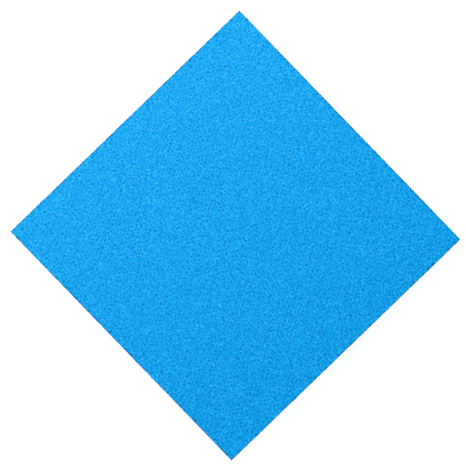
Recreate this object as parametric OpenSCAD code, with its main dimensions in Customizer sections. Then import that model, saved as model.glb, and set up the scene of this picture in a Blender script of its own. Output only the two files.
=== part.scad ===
// Aquarium filter sponge: a square pad cut from blue open-cell foam, in millimetres.
// The origin is the middle of the underside. X and Y run along the sides, and Z up through the pad.
// Each cut face is a plane that opens the cells of the foam to shallow pits of uneven size.

/* [Pad] */
// Length of each side of the square
side = 120; // [60:1:160]
// Thickness of the pad
thickness = 20; // [10:1:50]

/* [Cut cells] */
// Distance from the middle of a cell to the middle of its neighbour
cell_pitch = 4.2; // [4.2:0.1:12]
// Radius of the widest cells at the cut face
mouth_r = 1.95; // [0.8:0.05:2]
// Depth of the widest cells
cell_depth = 1.6; // [0.4:0.1:3]
// Size of the smallest cells, as a share of the widest
smallest = 0.5; // [0.3:0.05:1]
// Radius of a cell's floor, as a share of its mouth
floor_share = 0.4; // [0.1:0.05:0.9]
// Plain rim from the cells to the edges of each cut face
rim = 0.6; // [0.3:0.1:4]
// Thinnest web of foam between two cells
web = 0.15; // [0.05:0.05:0.2]
// Number that picks the sizes and places of the cells
pattern = 7; // [1:1:99]

/* [Hidden] */
foam_blue = [0.10, 0.64, 0.93];
// From the edge of a face to the middle of its outermost cells
inset = rim + mouth_r;
// Rows lie closer than cells in a row do, because every other row is staggered by half a pitch
row_pitch = cell_pitch * cos(30);
// What a cutter reaches past the face that it opens
over = 0.1;
cell_sides = 24;

// One cell, opened by the plane Z = 0, where size is its share of the widest one
module open_cell(size) {
    mouth = mouth_r * size;
    depth = cell_depth * size;
    flare = mouth * (1 - floor_share) / depth;
    translate([0, 0, -depth])
        cylinder(h = depth + over, r1 = mouth * floor_share, r2 = mouth + flare * over, $fn = cell_sides);
}

// The cells of a face of the given width and height, which is centred on the plane Z = 0
module open_cells(width, height, seed) {
    columns = floor((width - 2 * inset) / cell_pitch);
    rows = max(1, floor((height - 2 * inset) / row_pitch));
    step = [(width - 2 * inset) / columns, (height - 2 * inset) / rows];
    count = (columns + 1) * (rows + 1);
    sizes = rands(smallest, 1, count, seed);
    turns = rands(0, 360, count, seed + 1);
    strays = rands(0, 1, count, seed + 2);
    for (row = [0:rows], column = [0:columns - row % 2]) {
        i = row * (columns + 1) + column;
        // A small cell has room to stray from the even rows without meeting its neighbours
        stray = strays[i] * (cell_pitch / 2 - mouth_r * sizes[i] - web / 2);
        translate([
            (column + row % 2 / 2) * step.x - width / 2 + inset + stray * cos(turns[i]),
            row * step.y - height / 2 + inset + stray * sin(turns[i]),
            0
        ])
            open_cell(sizes[i]);
    }
}

module filter_sponge() {
    color(foam_blue) difference() {
        translate([-side / 2, -side / 2, 0]) cube([side, side, thickness]);
        translate([0, 0, thickness]) open_cells(side, side, pattern);
        rotate([180, 0, 0]) open_cells(side, side, pattern + 10);
        for (quarter = [0:3])
            rotate([90, 0, 90 * quarter]) translate([0, thickness / 2, side / 2])
                open_cells(side, thickness, pattern + 20 + 10 * quarter);
    }
}

filter_sponge();
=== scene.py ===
"""Looks of the aquarium filter sponge: a square pad cut from blue open-cell foam.

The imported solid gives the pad's place and size. The piece made here replaces it with one closed mesh,
whose six faces are planes cut through the cells of a foam, so the pits of all faces belong together.
All lengths are in metres.
"""
import math

import bmesh
import bpy
import numpy as np
from mathutils import Matrix, Vector, kdtree


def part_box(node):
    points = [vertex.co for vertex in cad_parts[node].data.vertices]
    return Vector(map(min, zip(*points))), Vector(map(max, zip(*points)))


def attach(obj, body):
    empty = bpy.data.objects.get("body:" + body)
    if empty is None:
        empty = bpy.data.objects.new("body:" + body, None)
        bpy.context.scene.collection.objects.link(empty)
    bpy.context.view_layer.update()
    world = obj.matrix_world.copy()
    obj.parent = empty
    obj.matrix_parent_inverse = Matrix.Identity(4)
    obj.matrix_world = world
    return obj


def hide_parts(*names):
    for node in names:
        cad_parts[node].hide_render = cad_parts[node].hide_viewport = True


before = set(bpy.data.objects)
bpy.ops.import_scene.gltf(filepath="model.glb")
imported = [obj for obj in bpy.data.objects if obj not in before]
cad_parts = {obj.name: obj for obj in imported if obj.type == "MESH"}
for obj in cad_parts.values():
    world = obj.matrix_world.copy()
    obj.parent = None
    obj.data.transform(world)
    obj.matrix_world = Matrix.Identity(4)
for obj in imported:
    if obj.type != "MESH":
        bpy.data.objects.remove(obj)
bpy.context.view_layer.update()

NODE = "filter_sponge"
PIECE = "cut_foam_pad"
SEED = 11

# The foam's cells: a body-centred lattice of middles, turned and shaken so that no rows show
LATTICE = 0.00180
SHAKE = 0.28
LATTICE_TURN = (0.5, 0.9, 0.3)
# The side of a cube that holds as much as one cell
CELL = LATTICE / 2 ** (1 / 3)
# How far from a cut face the middle of a cell that it opens may lie
REACH = 1.2 * CELL
# How far from its middle a cell may reach, and how far off its neighbours' middles may lie
CELL_REACH = 2 * LATTICE
NEIGHBOUR_REACH = 2.5 * CELL_REACH
# Points closer than this to a face of the box lie on it, and corners of cells closer than this are one
ON_FACE = 1e-8
WELD = 0.000125

# The depth of the cups that the cut faces open
CUP_LEAST = 0.0003
CUP_MOST = 0.0009
CUP_TO_WIDTH = 0.55
# How steeply cups and rims may sink away from an edge of the pad
EDGE_SLOPE = 0.8
RIM_SLOPE = 0.4
# How far the rims on a face and on an edge of the pad may sag
RIM_SAG = 0.00012
EDGE_SAG = 0.0001
# The notches in the edges, and the least share of its full depth that one has
EDGE_NOTCH = 0.0002
NOTCH_TO_WIDTH = 0.3
NOTCH_LEAST = 0.3
# The tone along the pad's own edges, where that of a rim is 0 and that of a cup's floor is 1
EDGE_TONE = 1.4
# How far the tone strays from one rim to the next, and from the floor of one cup to the next
RIM_STRAY = 0.10
FLOOR_STRAY = 0.40
# The gap between the faces of the pad in its UVs
UV_GAP = 0.002

# Colours, as linear numbers
# The two palest blues are painted highlights: glints where light catches the struts
BRIGHTEST_GLINT_BLUE = (0.073, 0.61, 1.0, 1)
GLINT_BLUE = (0.040, 0.535, 1.0, 1)
RIM_BLUE = (0.0165, 0.446, 0.970, 1)
# The two darkest blues are mostly painted shade down in the cups
WALL_BLUE = (0.003, 0.343, 0.825, 1)
DEEP_BLUE = (0.0001, 0.245, 0.62, 1)
FLOOR_WHITE = (0.42, 0.42, 0.42, 1)
WHITE = (1, 1, 1, 1)
# The shade picks the blue
FOAM_BLUES = [
    (0.0, BRIGHTEST_GLINT_BLUE),
    (0.2, GLINT_BLUE),
    (0.4, RIM_BLUE),
    (0.68, WALL_BLUE),
    (1.0, DEEP_BLUE),
]
# What the shade is on a rim; how much it adds of the cups' painted shade and tone, of grain and of the
# windows' painted shade; and how much the painted glints take off
SHADE = 0.40
SHADE_OF_CUP_SHADE_AND_TONE = 0.45
SHADE_OF_GRAIN = 0.80
SHADE_OF_WINDOW = 0.05
SHADE_OF_GLINT = 0.45
# Painted shade: how much the shade grows for each metre along X and Y, so that the pad darkens away from
# the lamp, towards -X and -Y
PAINTED_FALLOFF_X = -0.25
PAINTED_FALLOFF_Y = -1.38
# How fine grain, glints and the windows in the cells' walls are
GRAIN_SCALE = 1270
GLINT_SCALE = 1700
WINDOW_SCALE = 1000
# The middle of the grain, and from where to where in their noise the glints and windows grow
GRAIN_MIDDLE = 0.5
GLINT_FROM = 0.64
GLINT_TO = 0.84
WINDOW_FROM = 0.02
WINDOW_TO = 0.30
# The finish: the share of the grain in the bumps, their depth and strength, the roughness and the sheen
BUMP_OF_GRAIN = 0.5
BUMP_DEPTH = 0.0002
BUMP_STRENGTH = 0.25
ROUGH_LEAST = 0.82
ROUGH_MOST = 0.96
SHEEN = 0.02

# The floor, and how much whiter than lit paper the camera sees it
FLOOR_REACH = 3
FLOOR_LIFT = 0.84
# Strength of the even light from all round
SKY = 0.46
# The one lamp: its place above the middle of the top, its side and its power in watts
KEY_OFFSET = (0.175, 0.625, 1.25)
KEY_SIZE = 1.0
KEY_POWER = 13.75

# The camera looks straight down, turned so that the square stands on a corner
VIEW_TURN = math.radians(-44)
VIEW_WIDTH = 0.1754
VIEW_SHIFT = (-0.00091, 0.00092)
VIEW_FAR = 20
LENS = 135


def seeds_near_faces(rng, lo, hi):
    """Middles of the foam's cells, as far as a face of the box may cut them."""
    centre = (lo + hi) / 2
    radius = np.linalg.norm(hi - lo) / 2 + REACH
    steps = np.arange(-math.ceil(radius / LATTICE), math.ceil(radius / LATTICE) + 1)
    grid = np.stack(np.meshgrid(steps, steps, steps, indexing="ij"), -1).reshape(-1, 3) * LATTICE
    points = np.concatenate([grid, grid + LATTICE / 2])
    turn = np.eye(3)
    for axis, angle in zip("XYZ", LATTICE_TURN):
        turn = np.array(Matrix.Rotation(angle, 3, axis)) @ turn
    points = points @ turn.T + centre
    depth = np.minimum(points - lo, hi - points).min(1)
    points = points[np.abs(depth) < REACH + LATTICE]
    points += rng.uniform(-SHAKE, SHAKE, points.shape) * LATTICE
    depth = np.minimum(points - lo, hi - points).min(1)
    return points[(depth < REACH) & (depth > -REACH)]


def clipped(polygon, nx, ny, limit):
    """The part of a convex polygon on which nx * x + ny * y stays within limit."""
    out = []
    ax, ay = polygon[-1]
    a = nx * ax + ny * ay - limit
    for bx, by in polygon:
        b = nx * bx + ny * by - limit
        if (a < 0) != (b < 0):
            t = a / (a - b)
            out.append((ax + t * (bx - ax), ay + t * (by - ay)))
        if b < 0:
            out.append((bx, by))
        ax, ay, a = bx, by, b
    return out


def cut_polygons(flat, height, lo, hi):
    """Where a plane cuts the cells: (index of the cell's middle, corners) for each cell that it opens.

    flat holds the middles' places along the plane, and height how far they lie from it.
    """
    tree = kdtree.KDTree(len(flat))
    for i, (x, y) in enumerate(flat):
        tree.insert((x, y, 0), i)
    tree.balance()
    found = []
    for i, (x, y) in enumerate(flat):
        x0, x1 = max(lo[0], x - CELL_REACH), min(hi[0], x + CELL_REACH)
        y0, y1 = max(lo[1], y - CELL_REACH), min(hi[1], y + CELL_REACH)
        if x0 >= x1 or y0 >= y1:
            continue
        polygon = [(x0, y0), (x1, y0), (x1, y1), (x0, y1)]
        # No corner lies farther off than this, so a neighbour whose cut lies beyond it is left out
        farthest = 2 * CELL_REACH
        own = height[i] ** 2
        near = sorted(tree.find_range((x, y, 0), NEIGHBOUR_REACH), key=lambda hit: hit[2])
        for place, j, gap in near:
            if j == i:
                continue
            if (gap * gap - own) / (2 * gap) > farthest:
                break
            nx, ny = place[0] - x, place[1] - y
            limit = (gap * gap + height[j] ** 2 - own) / 2 + nx * x + ny * y
            if limit - nx * x - ny * y > gap * farthest:
                continue
            polygon = clipped(polygon, nx, ny, limit)
            if len(polygon) < 3:
                break
            farthest = max(math.hypot(px - x, py - y) for px, py in polygon)
        if len(polygon) >= 3:
            found.append((i, polygon))
    return found


def box_faces(lo, hi):
    """The box's six faces, each as (axis, place on it, outward sign, first and second axis along it)."""
    for axis in range(3):
        a, b = (axis + 1) % 3, (axis + 2) % 3
        yield axis, hi[axis], 1, a, b
        yield axis, lo[axis], -1, b, a


def welded(points, on_lo, on_hi):
    """For each point, the one that it is drawn as.

    That is a near one that lies on the same faces of the box, or on more.
    """
    faces = np.concatenate([on_lo, on_hi], 1)
    code = (faces @ (2 ** np.arange(6))).tolist()
    tree = kdtree.KDTree(len(points))
    for i, p in enumerate(points):
        tree.insert(p, i)
    tree.balance()
    drawn_as = [-1] * len(points)
    for i in np.argsort(-faces.sum(1), kind="stable").tolist():
        if drawn_as[i] < 0:
            for _, j, _ in tree.find_range(points[i], WELD):
                if drawn_as[j] < 0 and (code[i] | code[j]) == code[i]:
                    drawn_as[j] = i
    return drawn_as


def simple_loops(loop):
    """A loop that may touch itself after welding, as loops that don't."""
    loops, path = [], []
    for v in loop:
        if v in path:
            at = path.index(v)
            loops.append(path[at:])
            path = path[:at]
        path.append(v)
    loops.append(path)
    return [one for one in loops if len(one) >= 3]


class FoamSkin:
    """The vertices, triangles and tones of the pad's surface, drawn one cup at a time. A tone is painted
    shade, none on a rim and full on a cup's floor, with random tone on top.
    """

    def __init__(self, rng, corners, inwards, lo, hi):
        self.rng = rng
        self.corners = corners
        self.inwards = inwards
        self.lo = lo
        self.hi = hi
        self.vertices = []
        self.painted_shades_and_tones = []
        self.faces = []
        self.sides = []
        self.drawn = {}

    def add(self, place, painted_shade_and_tone, stray=RIM_STRAY):
        """A new vertex, whose tone strays from the given one."""
        self.vertices.append(place)
        self.painted_shades_and_tones.append(painted_shade_and_tone + self.rng.uniform(-stray, stray))
        return len(self.vertices) - 1

    def room(self, place, axis):
        """How far a point of a face lies from that face's nearest edge."""
        along = [k for k in range(3) if k != axis]
        return min(min(place[k] - self.lo[k], self.hi[k] - place[k]) for k in along)

    def rim(self, v, axis):
        """The vertex drawn for one corner of the cut cells."""
        if v not in self.drawn:
            place, inward = self.corners[v], self.inwards[v]
            faces = int(abs(inward).sum())
            most = {1: min(RIM_SAG, RIM_SLOPE * self.room(place, axis)), 2: EDGE_SAG, 3: 0}[faces]
            painted_shade_and_tone = 0 if faces == 1 else EDGE_TONE
            self.drawn[v] = self.add(place + inward * self.rng.uniform(0, most), painted_shade_and_tone)
        return self.drawn[v]

    def notch(self, v, w):
        """The vertex between two corners on an edge of the pad, where a cell is cut from both sides."""
        pair = (min(v, w), max(v, w))
        if pair not in self.drawn:
            middle = (self.corners[v] + self.corners[w]) / 2
            shared = self.inwards[v] * (self.inwards[v] == self.inwards[w])
            wide = np.linalg.norm(self.corners[v] - self.corners[w])
            deep = min(EDGE_NOTCH, NOTCH_TO_WIDTH * wide) * self.rng.uniform(NOTCH_LEAST, 1)
            self.drawn[pair] = self.add(middle + shared * deep, EDGE_TONE)
        return self.drawn[pair]

    def rims(self, ring, axis):
        """The vertices drawn round one cut cell."""
        drawn = []
        for k, v in enumerate(ring):
            shared = self.inwards[v] * self.inwards[ring[k - 1]]
            if shared.sum() >= 2:
                drawn.append(self.notch(ring[k - 1], v))
            drawn.append(self.rim(v, axis))
        return drawn

    def cup(self, ring, axis, sign, inside):
        """The cup that a face of the pad opens in a cell whose middle lies so far inside."""
        x, y = np.delete(self.corners[ring], axis, 1).T
        wide = math.sqrt(abs(np.dot(x, np.roll(y, 1)) - np.dot(y, np.roll(x, 1))) / 2)
        middle = self.corners[ring].mean(0)
        depth = min(max(CELL / 2 + inside, CUP_LEAST), CUP_MOST, CUP_TO_WIDTH * wide)
        depth = min(depth, EDGE_SLOPE * self.room(middle, axis))
        inward = np.zeros(3)
        inward[axis] = -sign
        rims = self.rims(ring, axis)
        # The cup's floor takes the full painted shade of the recess, and a random tone
        floor = self.add(middle + inward * depth, 1, FLOOR_STRAY)
        self.faces += [(rims[k - 1], rims[k], floor) for k in range(len(rims))]
        self.sides += [(axis, sign)] * len(rims)


def foam_mesh(name, lo, hi):
    """One closed mesh of the box, with a cup wherever a face cuts a cell."""
    rng = np.random.default_rng(SEED)
    seeds = seeds_near_faces(rng, lo, hi)
    corners, cells = [], []
    for axis, place, sign, a, b in box_faces(lo, hi):
        inside = (place - seeds[:, axis]) * sign
        near = np.flatnonzero(np.abs(inside) < REACH)
        flat = seeds[near][:, [a, b]].tolist()
        height = inside[near].tolist()
        for i, polygon in cut_polygons(flat, height, (lo[a], lo[b]), (hi[a], hi[b])):
            first = len(corners)
            for x, y in polygon:
                p = [0.0, 0.0, 0.0]
                p[axis], p[a], p[b] = place, x, y
                corners.append(p)
            cells.append((axis, sign, inside[near[i]], range(first, len(corners))))
    corners = np.array(corners)
    on_lo = np.isclose(corners, lo, rtol=0, atol=ON_FACE)
    on_hi = np.isclose(corners, hi, rtol=0, atol=ON_FACE)
    drawn_as = welded(corners, on_lo, on_hi)
    skin = FoamSkin(rng, corners, on_lo * 1.0 - on_hi, lo, hi)
    for axis, sign, inside, loop in cells:
        joined = [drawn_as[v] for v in loop]
        joined = [v for k, v in enumerate(joined) if v != joined[k - 1]]
        for ring in simple_loops(joined):
            skin.cup(ring, axis, sign, inside)

    mesh = bpy.data.meshes.new(name)
    mesh.from_pydata([tuple(v) for v in skin.vertices], [], skin.faces)
    # The tones paint shade down in the cups, with random tone on top
    painted_shade_and_tone = mesh.attributes.new("painted_shade_and_tone", "FLOAT", "POINT")
    painted_shade_and_tone.data.foreach_set("value", np.array(skin.painted_shades_and_tones, np.float32))
    mesh.polygons.foreach_set("use_smooth", [True] * len(mesh.polygons))
    lay_out_faces(mesh, skin.sides, lo, hi)
    return mesh


def lay_out_faces(mesh, sides, lo, hi):
    """Spreads the six faces of the pad over one square of UVs, all at one scale."""
    size = hi - lo
    long = max(size)
    scale = 1 / (2 * long + 3 * UV_GAP)
    starts = {
        (2, 1): (UV_GAP, UV_GAP),
        (2, -1): (long + 2 * UV_GAP, UV_GAP),
    }
    for k, key in enumerate([(0, 1), (0, -1), (1, 1), (1, -1)]):
        row, column = divmod(k, 2)
        starts[key] = (
            UV_GAP + column * (long + UV_GAP),
            long + 2 * UV_GAP + row * (size[2] + UV_GAP),
        )
    layer = mesh.uv_layers.new(name="OFBake")
    uvs = []
    for face, (axis, sign) in zip(mesh.polygons, sides):
        a, b = (axis + 1) % 3, (axis + 2) % 3
        if sign < 0:
            a, b = b, a
        u0, v0 = starts[axis, sign]
        for v in face.vertices:
            p = mesh.vertices[v].co
            u, w = p[a] - lo[a], p[b] - lo[b]
            if size[a] < size[b]:
                u, w = w, size[a] - u
            uvs += [(u0 + u) * scale, (v0 + w) * scale]
    layer.data.foreach_set("uv", uvs)


class Nodes:
    """A material's or world's node tree, with short calls to add and join nodes."""

    def __init__(self, owner):
        owner.use_nodes = True
        self.tree = owner.node_tree
        self.tree.nodes.clear()

    def put(self, socket, value):
        """Sets a socket to a value, or joins it to another node's output."""
        if isinstance(value, bpy.types.NodeSocket):
            self.tree.links.new(value, socket)
        else:
            socket.default_value = value

    def add(self, kind, **inputs):
        """A node whose named inputs are set or joined, with _ for a space in a name."""
        node = self.tree.nodes.new("ShaderNode" + kind)
        for name, value in inputs.items():
            self.put(node.inputs[name.replace("_", " ")], value)
        return node

    def math(self, operation, a, b):
        """The result of one sum on two values."""
        node = self.add("Math")
        node.operation = operation
        self.put(node.inputs[0], a)
        self.put(node.inputs[1], b)
        return node.outputs[0]

    def sum(self, first, *others):
        """All the values added up."""
        for other in others:
            first = self.math("ADD", first, other)
        return first

    def ramp(self, factor, stops):
        """The colour that a factor picks between stops, each given as (place, colour)."""
        node = self.add("ValToRGB", Fac=factor)
        elements = node.color_ramp.elements
        while len(elements) < len(stops):
            elements.new(0.5)
        for element, (place, colour) in zip(elements, stops):
            element.position, element.color = place, colour
        return node.outputs["Color"]

    def join(self, kind, *values):
        """A shader made from others, whose inputs are given in order."""
        node = self.add(kind)
        for socket, value in zip(node.inputs, values):
            self.put(socket, value)
        return node.outputs[0]

    def show(self, kind, shader):
        """Makes the shader the one that the material or world shows."""
        self.put(self.add(kind).inputs["Surface"], shader)


def foam_material():
    """Blue foam: pale on the rims of the cells, with painted shade deep in the cups, in darker windows in
    their walls and away from the lamp, and with painted glints.
    """
    material = bpy.data.materials.new("blue_open_cell_foam")
    n = Nodes(material)
    place = n.add("TexCoord").outputs["Object"]
    along = n.add("SeparateXYZ", Vector=place).outputs
    # Painted shade in the cups, with random tone, as the mesh carries it
    painted_shade_and_tone = n.add("Attribute")
    painted_shade_and_tone.attribute_name = "painted_shade_and_tone"
    grain = n.add("TexNoise", Vector=place, Scale=GRAIN_SCALE, Detail=0).outputs["Fac"]
    # Windows in the cells' walls, painted darker as the shade seen through them into the foam
    cells = n.add("TexVoronoi", Vector=place, Scale=WINDOW_SCALE)
    cells.feature = "DISTANCE_TO_EDGE"
    from_wall = cells.outputs["Distance"]
    window = n.add("MapRange", Value=from_wall, From_Min=WINDOW_FROM, From_Max=WINDOW_TO).outputs["Result"]
    # Painted glints: paler specks of highlight where light catches the struts
    glint_noise = n.add("TexNoise", Vector=place, Scale=GLINT_SCALE, Detail=0).outputs["Fac"]
    glint = n.add("MapRange", Value=glint_noise, From_Min=GLINT_FROM, From_Max=GLINT_TO).outputs["Result"]
    shade = n.sum(
        SHADE,
        n.math("MULTIPLY", painted_shade_and_tone.outputs["Fac"], SHADE_OF_CUP_SHADE_AND_TONE),
        n.math("MULTIPLY", n.math("SUBTRACT", grain, GRAIN_MIDDLE), SHADE_OF_GRAIN),
        n.math("MULTIPLY", window, SHADE_OF_WINDOW),
        n.math("MULTIPLY", glint, -SHADE_OF_GLINT),
        # Painted shade that grows away from the lamp
        n.math("MULTIPLY", along["X"], PAINTED_FALLOFF_X),
        n.math("MULTIPLY", along["Y"], PAINTED_FALLOFF_Y),
    )
    height = n.math("SUBTRACT", n.math("MULTIPLY", grain, BUMP_OF_GRAIN), window)
    bump = n.add("Bump", Height=height, Distance=BUMP_DEPTH, Strength=BUMP_STRENGTH).outputs["Normal"]
    rough = n.add("MapRange", Value=grain, To_Min=ROUGH_LEAST, To_Max=ROUGH_MOST).outputs["Result"]
    shader = n.add("BsdfPrincipled", Base_Color=n.ramp(shade, FOAM_BLUES), Roughness=rough, Normal=bump)
    shader.inputs["Specular IOR Level"].default_value = SHEEN
    n.show("OutputMaterial", shader.outputs["BSDF"])
    return material


def seen_directly(n):
    """1 where a camera ray or a mirror's ray looks, and 0 for the light that falls on the pad."""
    rays = n.add("LightPath").outputs
    return n.math("MAXIMUM", rays["Is Camera Ray"], rays["Is Glossy Ray"])


def floor_material():
    """White to the camera, plain pale paper to the light, and darker where the pad shades it."""
    material = bpy.data.materials.new("white_floor")
    n = Nodes(material)
    paper = n.add("BsdfDiffuse", Color=FLOOR_WHITE).outputs[0]
    lift = n.add("Emission", Strength=n.math("MULTIPLY", seen_directly(n), FLOOR_LIFT)).outputs[0]
    n.show("OutputMaterial", n.join("AddShader", paper, lift))
    return material


def white_surroundings():
    """An even light from all round, which the camera sees as white."""
    world = bpy.data.worlds.new("studio")
    bpy.context.scene.world = world
    n = Nodes(world)
    light = n.add("Background", Color=WHITE, Strength=SKY).outputs[0]
    white = n.add("Background", Color=WHITE, Strength=1.0).outputs[0]
    n.show("OutputWorld", n.join("MixShader", seen_directly(n), light, white))


def soft_lamp(name, place, target, size, power):
    """A square soft box that faces the target."""
    lamp = bpy.data.lights.new(name, "AREA")
    lamp.shape = "SQUARE"
    lamp.size = size
    lamp.energy = power
    holder = bpy.data.objects.new(name, lamp)
    bpy.context.scene.collection.objects.link(holder)
    holder.location = place
    holder.rotation_euler = (target - place).to_track_quat("-Z", "Y").to_euler()


def add_camera(lo, hi):
    """The camera looks straight down on the pad, which it sees turned about its middle."""
    camera = bpy.data.cameras.new("camera")
    camera.lens = LENS
    camera.clip_end = VIEW_FAR
    holder = bpy.data.objects.new("camera", camera)
    bpy.context.scene.collection.objects.link(holder)
    bpy.context.scene.camera = holder
    turn = Matrix.Rotation(VIEW_TURN, 4, "Z")
    above = (lo + hi) / 2 + turn @ Vector((*VIEW_SHIFT, 0))
    above.z = hi.z + VIEW_WIDTH * LENS / camera.sensor_width
    holder.matrix_world = Matrix.Translation(above) @ turn


def add_floor(height):
    """A wide floor that the pad lies on."""
    mesh = bpy.data.meshes.new("floor")
    shape = bmesh.new()
    bmesh.ops.create_grid(shape, x_segments=1, y_segments=1, size=FLOOR_REACH)
    shape.to_mesh(mesh)
    shape.free()
    floor = bpy.data.objects.new("floor", mesh)
    floor.location.z = height
    bpy.context.scene.collection.objects.link(floor)
    mesh.materials.append(floor_material())


def add_pad(lo, hi):
    """The foam pad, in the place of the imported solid."""
    mesh = foam_mesh(PIECE, np.array(lo), np.array(hi))
    mesh.materials.append(foam_material())
    pad = bpy.data.objects.new(PIECE, mesh)
    bpy.context.scene.collection.objects.link(pad)
    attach(pad, "root")
    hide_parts(NODE)


bpy.context.scene.view_settings.view_transform = "Standard"
low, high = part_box(NODE)
add_camera(low, high)
add_floor(low.z)
add_pad(low, high)
white_surroundings()
top = Vector(((low.x + high.x) / 2, (low.y + high.y) / 2, high.z))
soft_lamp("key", top + Vector(KEY_OFFSET), top, KEY_SIZE, KEY_POWER)
